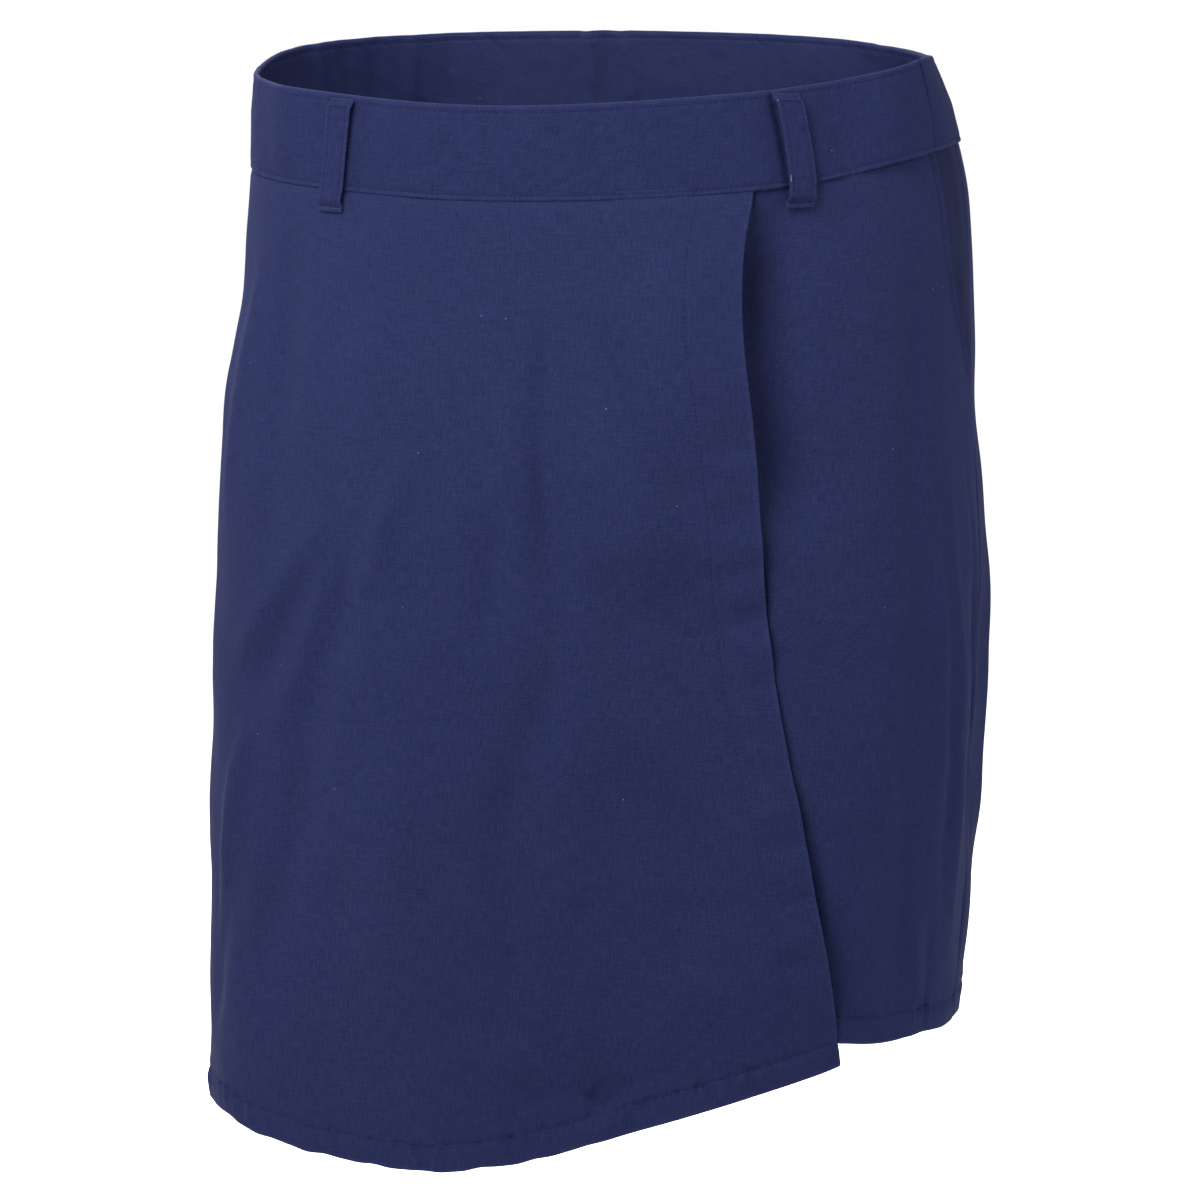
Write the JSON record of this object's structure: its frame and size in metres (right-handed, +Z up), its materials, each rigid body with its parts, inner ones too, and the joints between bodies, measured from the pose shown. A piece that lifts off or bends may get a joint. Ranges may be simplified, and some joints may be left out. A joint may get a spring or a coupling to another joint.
{
  "type": "skort",
  "caption": "Skort: shorts with a wrap apron panel over the front, a slanted pocket mouth, and a waistband with belt loops. Filled out as worn, open at the waist and leg hems.",
  "frame": {"origin": "centre of the waist, halfway up the waistband: where the wearer's waist holds the skort up", "axes": "+Z up, -Y the wearer's front, +X the wearer's left"},
  "size_m": [0.3573, 0.2581, 0.497],
  "materials": {
    "navy_twill": "fine matt cotton twill",
    "navy_twill_band": "the same twill, double, with interfacing",
    "pocket_facing_twill": "the same twill, inside the pocket mouth"
  },
  "bodies": {
    "root": {"apron": "navy_twill", "front_leg_left": "navy_twill", "front_leg_right": "navy_twill", "back_leg_left": "navy_twill", "back_leg_right": "navy_twill", "pocket_facing_left": "pocket_facing_twill", "waistband_front": "navy_twill_band", "waistband_back": "navy_twill_band", "belt_loop_front_left": "navy_twill_band", "belt_loop_front_right": "navy_twill_band", "belt_loop_back_left": "navy_twill_band", "belt_loop_back_right": "navy_twill_band", "belt_loop_back_centre": "navy_twill_band"}
  },
  "joints": []
}
